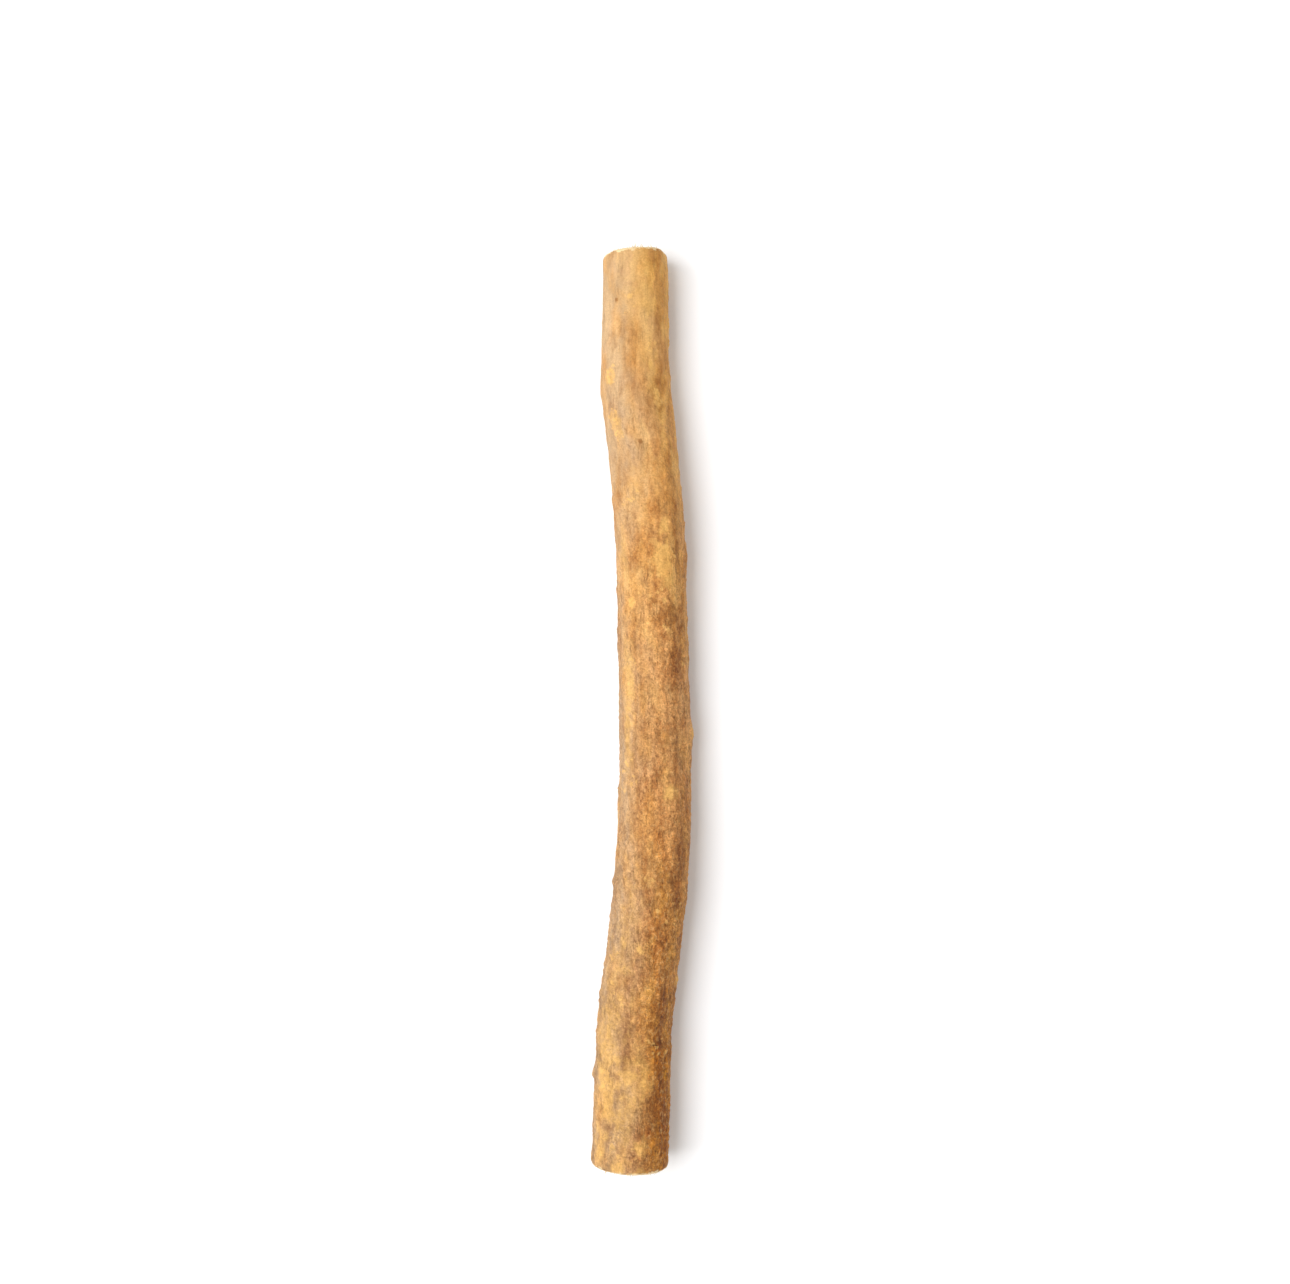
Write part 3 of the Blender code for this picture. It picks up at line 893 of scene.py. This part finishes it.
def shadeGrains(tree, cork, value):
    # The grains' tops are paler and a little less yellow and their gaps are darker, less so where
    # the bark is calm: painted highlight on the tops and painted shade in the gaps, over the cork's
    # own speckled tone.
    contrast = add(tree, "Math", {"operation": "MULTIPLY_ADD", 1: grains["busyContrast"],
                                  2: grains["leastContrast"]}, {0: value["lively"]})
    for key, (gap, top) in grains["shades"].items():
        ends = {6: (gap, gap, gap, 1), 7: (*(top * tinge for tinge in grains["tinge"]), 1)}
        shade = add(tree, "Mix", {**colours, **ends}, {0: value[key]}, 2)
        cork = add(tree, "Mix", multiplied, {0: contrast, 6: cork, 7: shade}, 2)
    return cork


def splitMask(tree, coords, value):
    # Fissures run along the bark where a drawn-out noise passes its middle, in some places, and
    # none on the cuts.
    look = {"Scale": 1 / (fissures["apart"] * mm), **fissures["look"]}
    split = drawnNoise(tree, coords, (1, 1 / fissures["longer"], 1), look)
    split = add(tree, "Math", {"operation": "SUBTRACT", 1: 0.5}, {0: split})
    split = add(tree, "Math", {"operation": "ABSOLUTE"}, {0: split})
    split = add(tree, "MapRange", {"From Min": fissures["edge"], "From Max": 0.0}, {0: split})
    for key in ("splitHere", "onBark"):
        split = add(tree, "Math", times, {0: split, 1: value[key]})
    return split


def corkColour(tree, coords, value):
    # The bark's colours over one another: raised tips are paler, with edges as ragged as the
    # grain, and hollows and fissures are darkened with painted shade.
    cork = layerColours(tree, value)
    # Painted sheen: the dull tan laid over the -X side
    cork = layOver(tree, cork, [("paintedSheen", value["paintedSheen"], "MIX")])
    cork = layOver(tree, cork, patternLayers(tree, coords, value) + tintLayers(tree, value))
    cork = shadeGrains(tree, cork, value)
    # Painted shade in the fissures: their dark brown, up to the fissures' most
    splitShade = add(tree, "Math", {**times, 1: fissures["most"]}, {0: value["split"]})
    return layOver(tree, cork, [
        ("fissureShade", splitShade, "MIX"),
        ("raised", value["raisedHere"], "MIX"),
        # painted shade in the hollows
        ("hollowShade", value["hollowShadeHere"], "MIX"),
    ])


def woodColour(tree, value):
    # Cut wood: cream, with fine rays out from the middle (about 100 round it), and soft darker
    # islands 0.3 mm by 0.6 mm that lie round the middle in rough rings, denser in some places.
    ray = add(tree, "Attribute", {"attribute_name": "ray"}, None, "Vector")
    rays = drawnNoise(tree, ray, wood["rays"], wood["rayNoise"])
    stripe = add(tree, "MapRange", dict(zip(fromTo, wood["rayStripes"])), {0: rays})
    cream = add(tree, "Mix", {**colours, 6: hexColour(rootFinish["wood"]),
                              7: hexColour(rootFinish["woodShade"])}, {0: stripe}, 2)
    drawn = add(tree, "Mapping", {"Scale": wood["islands"]}, {"Vector": ray})
    island = add(tree, "TexVoronoi", {"Scale": 1.0, "Randomness": 1.0}, {"Vector": drawn}, "Distance")
    island = add(tree, "MapRange", dict(zip(fromTo, wood["islandEdge"])), {0: island})
    island = add(tree, "Math", times, {0: island, 1: value["islandsHere"]})
    cream = layOver(tree, cream, [("phloem", island, "MIX")])
    # grainShade is paler where the grain bump stands up: partly painted highlight and shade
    for key in ("stainShade", "grainShade"):
        cream = add(tree, "Mix", multiplied, {6: cream, 7: value[key]}, 2)
    # The drying checks are darkened: painted shade in the cracks
    crack = add(tree, "Math", {**times, 1: wood["checkShade"]}, {0: value["check"]})
    return layOver(tree, cream, [("check", crack, "MIX")])


def driedRootMaterial():
    # Air-dried root of the toothbrush tree. Its bark is a thin cork, matt and grainy: a brown
    # outer skin, and golden under it where the skin is rubbed off with ragged edges. Hollows
    # are darkened with painted shade. A saw cut shows the cork as a thin brown line, about 1 mm of
    # tan inner bark, and cream wood with rays and small soft islands.
    material, tree, shader, coords = newMaterial("driedRoot")
    value = rootValues(tree, coords)
    value["split"] = splitMask(tree, coords, value)

    # From the outside in: cork to about 0.2 mm, inner bark to 1 mm, the dark line, then wood.
    # The cork's edge wanders by 0.3 mm over 1.3 mm, so the worn rim shows pale bits
    worn = add(tree, "Math", {"operation": "SUBTRACT", 0: 1.0}, {1: value["onBark"]})
    underCork = add(tree, "Math", times, {0: value["underCork"], 1: worn})
    inner = add(tree, "Mix", {**multiplied, 6: hexColour(rootFinish["innerBark"])},
                {7: value["innerShade"]}, 2)
    base = corkColour(tree, coords, value)
    for amount, colour in ((underCork, inner), (value["inWood"], woodColour(tree, value))):
        base = add(tree, "Mix", colours, {0: amount, 6: base, 7: colour}, 2)
    fromLine = add(tree, "Math", {"operation": "SUBTRACT", 1: cut["barkDepth"]},
                   {0: value["woodDepth"]})
    fromLine = add(tree, "Math", {"operation": "ABSOLUTE"}, {0: fromLine})
    line = add(tree, "MapRange", dict(zip(fromTo, wood["cambiumLine"])), {0: fromLine})
    base = layOver(tree, base, [("cambium", line, "MIX")])
    tree.links.new(base, shader.inputs["Base Color"])

    # Cork is matt, wart tips a little smoother, cut wood dull
    matt = add(tree, "Math", {"operation": "MULTIPLY_ADD", 1: -tipShine},
               {0: value["raised"], 2: value["matt"]})
    tree.links.new(matt, shader.inputs["Roughness"])
    for key, amount in rootShader.items():
        shader.inputs[key].default_value = amount

    # Strands 0.28 mm by 2.3 mm, the skin's edge, the fissures, the grain and the pores stand up
    # or go in, and all are fainter where the bark is calm
    look = {"Scale": 1 / (strands["size"] * mm), "Detail": strands["detail"]}
    value["strands"] = drawnNoise(tree, coords, (1, strands["shortened"], 1), look)
    links = {"Strength": value["busy"]}
    for key, height in rootBumps.items():
        links["Height"] = value[key]
        bump = {"Distance": abs(height) * mm, "invert": height < 0}
        links["Normal"] = add(tree, "Bump", bump, links)
    tree.links.new(links["Normal"], shader.inputs["Normal"])
    return material


# Bare wood fibre: cream and dull, with darker stretches of about 1.5 mm
fibreFinish = {
    "shade": "#C9A26A", "pale": "#EBD6AC", "stretch": 1.5, "detail": 2,
    "Roughness": 0.7, "IOR": 1.40,
}


def fibreMaterial():
    # Real fibres are slightly see-through at their edges. These are drawn opaque.
    material, tree, shader, coords = newMaterial("woodFibre")
    look = {"Scale": 1 / (fibreFinish["stretch"] * mm), "Detail": fibreFinish["detail"]}
    noise = add(tree, "TexNoise", look, {"Vector": coords})
    tone = add(tree, "Mix", {**colours, 6: hexColour(fibreFinish["shade"]),
                             7: hexColour(fibreFinish["pale"])}, {0: noise}, 2)
    tree.links.new(tone, shader.inputs["Base Color"])
    for key in ("Roughness", "IOR"):
        shader.inputs[key].default_value = fibreFinish[key]
    return material


table = {"half": 1500.0, "drop": 0.02, "colour": "#F4F3F0", "roughness": 0.6}


def makeTable():
    # A pale matt sheet under the stick, much wider than the view.
    material, _, shader, _ = newMaterial("paleTable")
    shader.inputs["Base Color"].default_value = hexColour(table["colour"])
    shader.inputs["Roughness"].default_value = table["roughness"]
    side, low = table["half"] * mm, -table["drop"] * mm
    mesh = bpy.data.meshes.new("table")
    corners = [(-side, -side, low), (side, -side, low), (side, side, low), (-side, side, low)]
    mesh.from_pydata(corners, [], [(0, 1, 2, 3)])
    mesh.materials.append(material)
    floor = putInScene("table", mesh)


lights = {
    "key": ((-330, 20, 580), 500, 4.9, "#F6F8FF"),   # (place, size across, watts, colour)
    "world": 0.67, "sky": "#FFFFFF",                 # even light from all round
}


def makeLights():
    # One large soft lamp that faces the table's middle: it is tipped over by atan(way aside /
    # height) and turned to the side that it stands on.
    place, size, watts, colour = lights["key"]
    lamp = bpy.data.lights.new("key", "AREA")
    lamp.size, lamp.energy, lamp.color = size * mm, watts, hexColour(colour)[:3]
    holder = putInScene("key", lamp)
    away = np.array(place, float) * mm
    holder.location = away
    tip, heading = math.atan2(math.hypot(away[0], away[1]), away[2]), math.atan2(away[1], away[0])
    holder.rotation_euler = (tip, 0, heading + math.pi / 2)
    world = bpy.data.worlds.new("softLight")
    world.use_nodes = True
    sky = world.node_tree.nodes["Background"]
    sky.inputs["Strength"].default_value = lights["world"]
    sky.inputs["Color"].default_value = hexColour(lights["sky"])
    bpy.context.scene.world = world


camera = {
    "over": (0.54, 11.6),    # the point of the table straight below the camera
    "height": 300.0,
    "photoWidth": 1290,      # pixels
    "pixelsPerMm": 5.72,     # at the stick's middle, which lies 6 mm up
    "middle": 6.0,
    "sensor": 36.0,
    "clip": (10, 5000),
}


def makeCamera():
    # Lens over sensor width is distance over the width seen there.
    data = bpy.data.cameras.new("camera")
    data.sensor_width = camera["sensor"]
    seen = camera["photoWidth"] / camera["pixelsPerMm"]
    data.lens = camera["sensor"] * (camera["height"] - camera["middle"]) / seen
    data.clip_start, data.clip_end = (distance * mm for distance in camera["clip"])
    holder = putInScene("camera", data)
    holder.location = np.array((*camera["over"], camera["height"])) * mm
    bpy.context.scene.camera = holder


makeCamera()
makeTable()
makeLights()
bpy.context.scene.view_settings.view_transform = "Standard"
print("camera, table and lights")

rootMaterial, fibreCream = driedRootMaterial(), fibreMaterial()
print("materials")
makeFibres(makeStick(rootMaterial), fibreCream)
